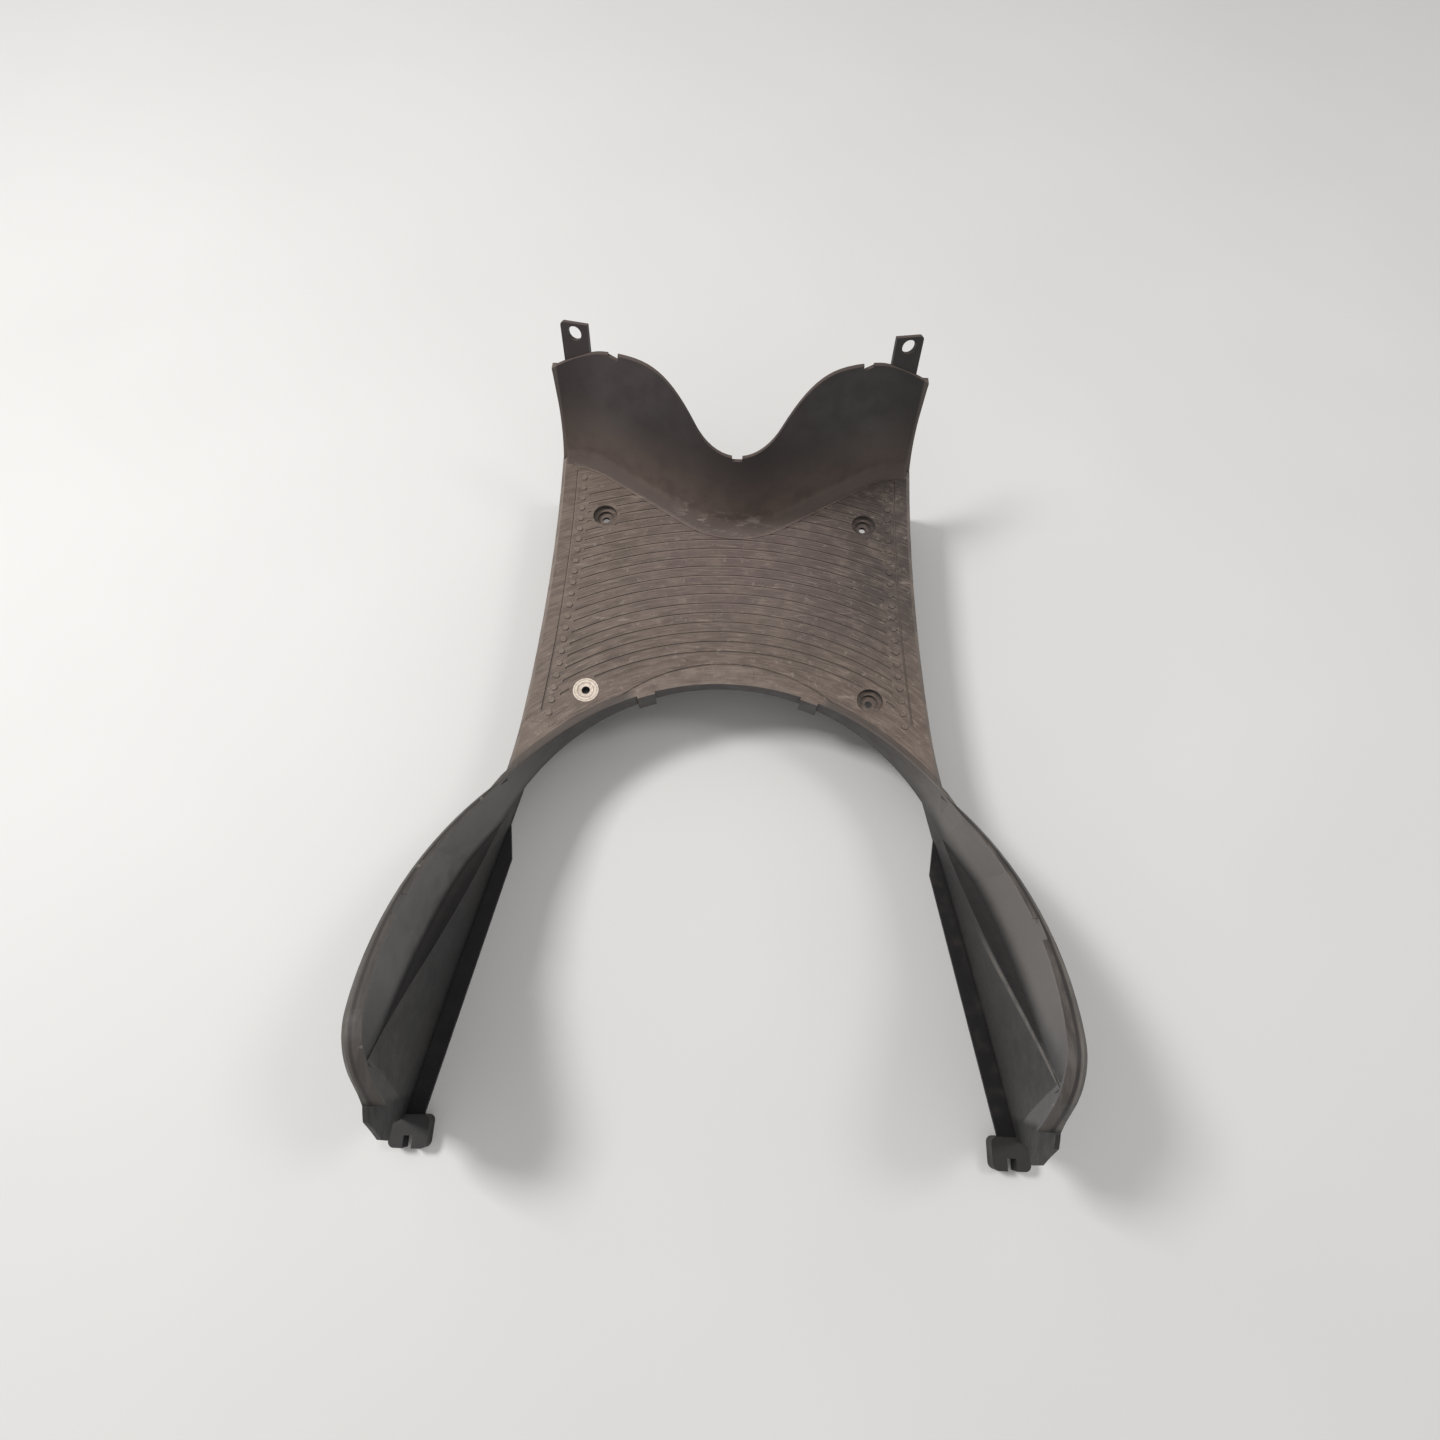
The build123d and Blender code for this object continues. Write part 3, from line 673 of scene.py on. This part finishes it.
def dress(node, material):
    """Gives a node's own slots the new finish."""
    for slot in node.material_slots:
        slot.material = material


moulding = moulding_finish()
dress(floorboard, moulding)
print("floorboard slots:", [slot.name for slot in floorboard.material_slots])

# %% [markdown]
# ## Small trim on the moulding
# The trim pieces are built as bmesh shapes in the frame's own metres, so their objects can stay
# at the origin. One helper turns a finished shape into an object in the moulding's finish and
# lets it ride on the board.

# %% A helper for trim pieces
sides = {"left": -1, "right": 1}


def trim_piece(name, shape):
    """Makes a finished shape a piece of the board, in the moulding's finish."""
    bmesh.ops.recalc_face_normals(shape, faces=shape.faces)
    mesh = bpy.data.meshes.new(name)
    shape.to_mesh(mesh)
    shape.free()
    mesh.materials.append(moulding)
    piece = bpy.data.objects.new(name, mesh)
    bpy.context.scene.collection.objects.link(piece)
    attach(piece, "root")
    print(piece.name, [round(size * 1000, 1) for size in piece.dimensions], "mm")


print("trim goes on the", " and the ".join(sides))

# %% [markdown]
# ## Fairing the arch's hanging wall into the wings
# A wall hangs from the arch's edge and runs into the wings. On the real board it fades out into
# them, where the solid has a small step. A thin wedge, flush with the hanging wall at one end
# and with the wing at the other, fills that step. Cutting and joining the solid's own mesh would
# change the frame, so the wedge is a piece by itself: a four-sided outline, extruded upwards and
# then sheared so that its top follows the rising rim.

# %% Wall fairings
wall_thickness = 0.003
fairing_start_y = -0.2034
fairing_length = 0.042
fairing_foot = -0.040
fairing_rise = 0.0187
fairing_top = deck_height + fairing_rise
fairing_sink = 0.0006


def wing_inside_x(y):
    """Half width of a wing's inner wall at deck height."""
    return sqrt((wing_radius - wall_thickness) ** 2 - (y - wing_middle_y) ** 2)


def wall_fairing(side):
    """A wedge from the hanging wall's end to the wing's inner wall."""
    end_y = fairing_start_y - fairing_length
    hanging_x = sqrt(arch_radius**2 - (fairing_start_y - arch_middle_y) ** 2)
    outline = [
        (hanging_x, fairing_start_y),
        (wing_inside_x(end_y) + fairing_sink / 4, end_y),
        (wing_inside_x(end_y) + 2 * fairing_sink, end_y + fairing_sink),
        (wing_inside_x(fairing_start_y) + fairing_sink, fairing_start_y),
    ]
    shape = bmesh.new()
    corners = [shape.verts.new((side * x, y, fairing_foot)) for x, y in outline]
    base = shape.faces.new(corners)
    risen = bmesh.ops.extrude_face_region(shape, geom=[base])
    tops = [part for part in risen["geom"] if isinstance(part, bmesh.types.BMVert)]
    bmesh.ops.translate(shape, verts=tops, vec=(0, 0, fairing_top - fairing_foot))
    lean = Matrix.Identity(4)
    lean[2][1] = -rim_slope
    lean[2][3] = rim_slope * fairing_start_y
    bmesh.ops.transform(shape, matrix=lean, verts=tops)
    return shape


for side_name, side in sides.items():
    trim_piece(side_name + "_wall_fairing", wall_fairing(side))

# %% [markdown]
# ## The beads along the arch
# Between each clip and its wing, the arch's edge is rolled into a soft bead. A bevelled curve
# with a taper could make it. Here a small ring of vertices is spun round the arch's middle
# instead, which gives a plain mesh: its points are lifted where the rim bends upwards, and drawn
# together at both ends, where the bead fades into the deck.

# %% Where the beads run
bead_radius = 0.0028
bead_set_back = 0.75 * bead_radius
bead_proud = 0.0008
bead_middle_radius = arch_radius + bead_set_back
bead_middle_height = deck_height + bead_proud - bead_radius
bead_start = radians(23)
bead_end = radians(63)
bead_fade = radians(6)
bead_thinnest = 0.2
rim_bend_radius = 0.180
rim_bend_front_y = -0.114
rim_bend_rear_y = -0.1836


def rim_rise(y):
    """How far the rim stands above the deck: level, then a round bend, then a slope."""
    if y < rim_bend_rear_y:
        return rim_slope * (rim_start_y - y)
    behind = max(rim_bend_front_y - y, 0.0)
    return rim_bend_radius - sqrt(rim_bend_radius**2 - behind**2)


def bead_share(angle):
    """How thick the bead is at an angle round the arch, as a share of its full size."""
    from_end = min(angle - bead_start, bead_end - angle)
    return min(max(from_end / bead_fade, bead_thinnest), 1.0)


print("bead half way round:", bead_share((bead_start + bead_end) / 2), "of full size")

# %% Arch beads
bead_sides = 10
bead_steps = 28


def arch_bead(side):
    """A soft bead along one side of the arch's edge."""
    shape = bmesh.new()
    bmesh.ops.create_circle(shape, segments=bead_sides, radius=bead_radius)
    upright = Matrix.Rotation(radians(90), 4, "Y")
    place = Matrix.Translation((0, bead_middle_radius, bead_middle_height))
    turn = Matrix.Rotation(-side * bead_start, 4, "Z")
    bmesh.ops.transform(shape, matrix=turn @ place @ upright, verts=shape.verts)
    ring = shape.verts[:] + shape.edges[:]
    sweep = -side * (bead_end - bead_start)
    bmesh.ops.spin(
        shape, geom=ring, cent=(0, 0, 0), axis=(0, 0, 1), angle=sweep, steps=bead_steps)
    for corner in shape.verts:
        share = bead_share(atan2(abs(corner.co.x), corner.co.y))
        radius = hypot(corner.co.x, corner.co.y)
        pull = (bead_middle_radius + (radius - bead_middle_radius) * share) / radius
        corner.co.x *= pull
        corner.co.y = corner.co.y * pull + arch_middle_y
        thinned = (corner.co.z - bead_middle_height) * share
        corner.co.z = bead_middle_height + thinned + rim_rise(corner.co.y)
    open_ends = [edge for edge in shape.edges if edge.is_boundary]
    bmesh.ops.holes_fill(shape, edges=open_ends, sides=bead_sides)
    for face in shape.faces:
        face.smooth = True
    return shape


for side_name, side in sides.items():
    trim_piece(side_name + "_arch_bead", arch_bead(side))

# %% [markdown]
# ## The apron's rolled edges
# Each side of the apron is folded forward into a narrow edge, which sweeps in one hollow curve
# from the deck's corner up to the apron's corner. A flat strip that leans as the apron does is
# cut across at several heights, and its outer side is then pulled out to the curve. That takes
# few faces, and the side that lies on the apron stays straight.

# %% The hollow curve
edge_foot = 0.001
edge_waist = 0.053
edge_top = 0.0965
edge_foot_x = 0.1738
edge_waist_x = 0.1702
edge_top_x = 0.1722


def edge_outside_x(height):
    """Half width of a rolled edge: a hollow curve through its foot, waist and top."""
    end = edge_foot if height < edge_waist else edge_top
    end_x = edge_foot_x if height < edge_waist else edge_top_x
    share = (height - edge_waist) / (end - edge_waist)
    return edge_waist_x + (end_x - edge_waist_x) * share**2


print("half width at foot and top:", edge_outside_x(edge_foot), edge_outside_x(edge_top))

# %% Apron edges
apron_lean = 0.28
apron_face_y = 0.1644
apron_face_height = 0.020
edge_inside_x = 0.1662
edge_depth = 0.0075
edge_cuts = 11
edge_round = 0.0008
strip_width = 0.002


def apron_edge(side):
    """A narrow edge folded forward along one side of the apron."""
    shape = bmesh.new()
    bmesh.ops.create_cube(shape, size=1.0)
    middle = Vector((side * edge_inside_x, edge_depth / 2, (edge_foot + edge_top) / 2))
    strip_size = (strip_width, edge_depth, edge_top - edge_foot)
    bmesh.ops.scale(shape, verts=shape.verts, vec=strip_size)
    bmesh.ops.translate(shape, verts=shape.verts, vec=middle)
    uprights = [
        edge for edge in shape.edges
        if abs(edge.verts[0].co.z - edge.verts[1].co.z) > edge_depth
    ]
    bmesh.ops.subdivide_edges(shape, edges=uprights, cuts=edge_cuts, use_grid_fill=True)
    for corner in shape.verts:
        if abs(corner.co.x) > edge_inside_x:
            corner.co.x = side * edge_outside_x(corner.co.z)
        corner.co.y += apron_face_y + apron_lean * (corner.co.z - apron_face_height)
    pulled_x = edge_inside_x + strip_width
    outer = [
        edge for edge in shape.edges
        if all(abs(corner.co.x) > pulled_x for corner in edge.verts)
    ]
    bmesh.ops.bevel(
        shape, geom=outer, offset=edge_round, affect="EDGES", segments=2, profile=0.5, material=-1)
    return shape


for side_name, side in sides.items():
    trim_piece(side_name + "_apron_edge", apron_edge(side))

# %% [markdown]
# ## The collar
# A pale turned collar, dull and a little stained. Its turned rings are drawn from the distance
# to its own axis, which is the middle of the collar's box in the frame, so they are true circles
# on a mesh that has never been unwrapped.

# %% The collar's finish
collar_low, collar_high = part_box("rear_left_collar")
collar_middle = (Vector(collar_low) + Vector(collar_high)) / 2
collar_radius = (collar_high[0] - collar_low[0]) / 2
collar_pale = srgb(224, 209, 193)
collar_stained = srgb(196, 180, 164)
ring_brown = srgb(122, 110, 100)
# painted shade in the collar's bore
bore_painted_shade = srgb(24, 22, 21)
collar_metal = 0.15
ring_share = 0.55
inner_ring_place = 0.62
outer_ring_place = 0.86
bore_edge_place = 0.3


def collar_finish():
    """Dull pale metal with turned rings, stained patches and painted shade in the bore."""
    material, graph, shader = new_material("oxidised_collar")
    place = add_node(graph, "ShaderNodeTexCoord").outputs["Object"]
    centred = add_node(graph, "ShaderNodeVectorMath", operation="SUBTRACT")
    feed(graph, centred.inputs[0], place)
    feed(graph, centred.inputs[1], collar_middle)
    spot = add_node(graph, "ShaderNodeSeparateXYZ")
    feed(graph, spot.inputs[0], centred.outputs[0])
    from_axis = radius_about(graph, spot.outputs["X"], spot.outputs["Y"], 0.0)
    out = product(graph, from_axis, 1 / collar_radius)
    stain = noise(graph, place, 320.0, detail=5.0)
    colour = mix_colour(graph, ramp(graph, stain, 0.4, 0.7), collar_pale, collar_stained)
    inner_ring = band(graph, out, inner_ring_place, 0.03, 0.04)
    outer_ring = band(graph, out, outer_ring_place, 0.015, 0.03)
    rings = math_node(graph, "MAXIMUM", inner_ring, outer_ring)
    colour = mix_colour(graph, product(graph, rings, ring_share), colour, ring_brown)
    # painted shade inside the bore
    in_bore = ramp(graph, out, bore_edge_place + 0.06, bore_edge_place)
    colour = mix_colour(graph, in_bore, colour, bore_painted_shade)
    feed(graph, shader.inputs["Base Color"], colour)
    shader.inputs["Metallic"].default_value = collar_metal
    feed(graph, shader.inputs["Roughness"], ramp(graph, stain, 0.3, 0.7, 0.45, 0.7))
    return material


dress(collar, collar_finish())
print("collar radius", round(collar_radius * 1000, 2), "mm")

# %% [markdown]
# ## Floor, light and camera
# The floor is plain and pale. Two soft lamps stand ahead of the board, a strong one to the left
# and a weaker one to the right, so the board's shadow falls back under its arch and the right
# wing's inside is the brighter one. An even pale sky fills in the rest.

# %% Floor
floor_size = 8.0
floor_grey = srgb(220, 218, 215)
floor_pale = srgb(228, 226, 223)
floor_roughness = 0.6


def pale_floor():
    """A wide level floor with a faintly uneven white finish."""
    bpy.ops.mesh.primitive_plane_add(size=floor_size, location=(0, 0, foot_height))
    floor = bpy.context.object
    floor.name = "floor"
    material, graph, shader = new_material("pale_floor")
    place = add_node(graph, "ShaderNodeTexCoord").outputs["Object"]
    cloud = noise(graph, place, 3.0, detail=2.0)
    feed(graph, shader.inputs["Base Color"], mix_colour(graph, cloud, floor_grey, floor_pale))
    shader.inputs["Roughness"].default_value = floor_roughness
    floor.data.materials.append(material)
    return floor


floor = pale_floor()
print(floor.name, floor_size, "m wide")

# %% Light
sky_colour = (0.98, 0.985, 1.0, 1.0)
sky_strength = 0.5
lamp_target = (0, -0.15, 0)


def even_sky():
    """A pale sky of one colour all round."""
    sky = bpy.data.worlds.new("even_sky")
    sky.use_nodes = True
    background = sky.node_tree.nodes["Background"]
    background.inputs["Color"].default_value = sky_colour
    background.inputs["Strength"].default_value = sky_strength
    bpy.context.scene.world = sky


def soft_lamp(name, place, size, power):
    """A square lamp that faces the board."""
    lamp = bpy.data.lights.new(name, "AREA")
    lamp.shape = "SQUARE"
    lamp.size = size
    lamp.energy = power
    lamp_object = bpy.data.objects.new(name, lamp)
    aim = (Vector(lamp_target) - Vector(place)).to_track_quat("-Z", "Y")
    lamp_object.matrix_world = Matrix.Translation(place) @ aim.to_matrix().to_4x4()
    bpy.context.scene.collection.objects.link(lamp_object)


even_sky()
soft_lamp("left_lamp", place=(-1.50, 0.30, 2.00), size=0.55, power=37.0)
soft_lamp("right_lamp", place=(1.45, 0.10, 2.10), size=0.6, power=10.0)
bpy.context.scene.view_settings.view_transform = "Standard"
print("lamps:", [lamp.name for lamp in bpy.data.lights])

# %% [markdown]
# The camera is worked out from the picture's perspective: its focal length in pixels, its height
# and distance, and how it is pitched, rolled and turned. The board lies a few pixels off the
# picture's middle, which a small shift of the lens gives.

# %% Camera
image_pixels = 1440
focal_pixels = 811.0
sensor_width = 36.0
camera_place = Vector((0.0, -0.387, 0.658))
camera_pitch = radians(67.4)
camera_roll = radians(2.6)
camera_yaw = radians(-0.35)
board_offset_pixels = 6.0


def photo_camera():
    """The camera that sees the board as it was photographed, from behind and above."""
    ahead = Vector((0, cos(camera_pitch), -sin(camera_pitch)))
    level_up = Vector((0, sin(camera_pitch), cos(camera_pitch)))
    level_right = Vector((1, 0, 0))
    right = cos(camera_roll) * level_right + sin(camera_roll) * level_up
    up = cos(camera_roll) * level_up - sin(camera_roll) * level_right
    turn = Matrix((right, up, -ahead)).transposed()
    yaw = Matrix.Rotation(camera_yaw, 4, "Z")
    lens = bpy.data.cameras.new("photo_camera")
    lens.sensor_width = sensor_width
    lens.lens = focal_pixels / image_pixels * sensor_width
    lens.shift_x = -board_offset_pixels / image_pixels
    camera = bpy.data.objects.new("photo_camera", lens)
    camera.matrix_world = yaw @ Matrix.Translation(camera_place) @ turn.to_4x4()
    bpy.context.scene.collection.objects.link(camera)
    bpy.context.scene.camera = camera
    return camera


camera = photo_camera()
print("lens", round(camera.data.lens, 2), "mm")
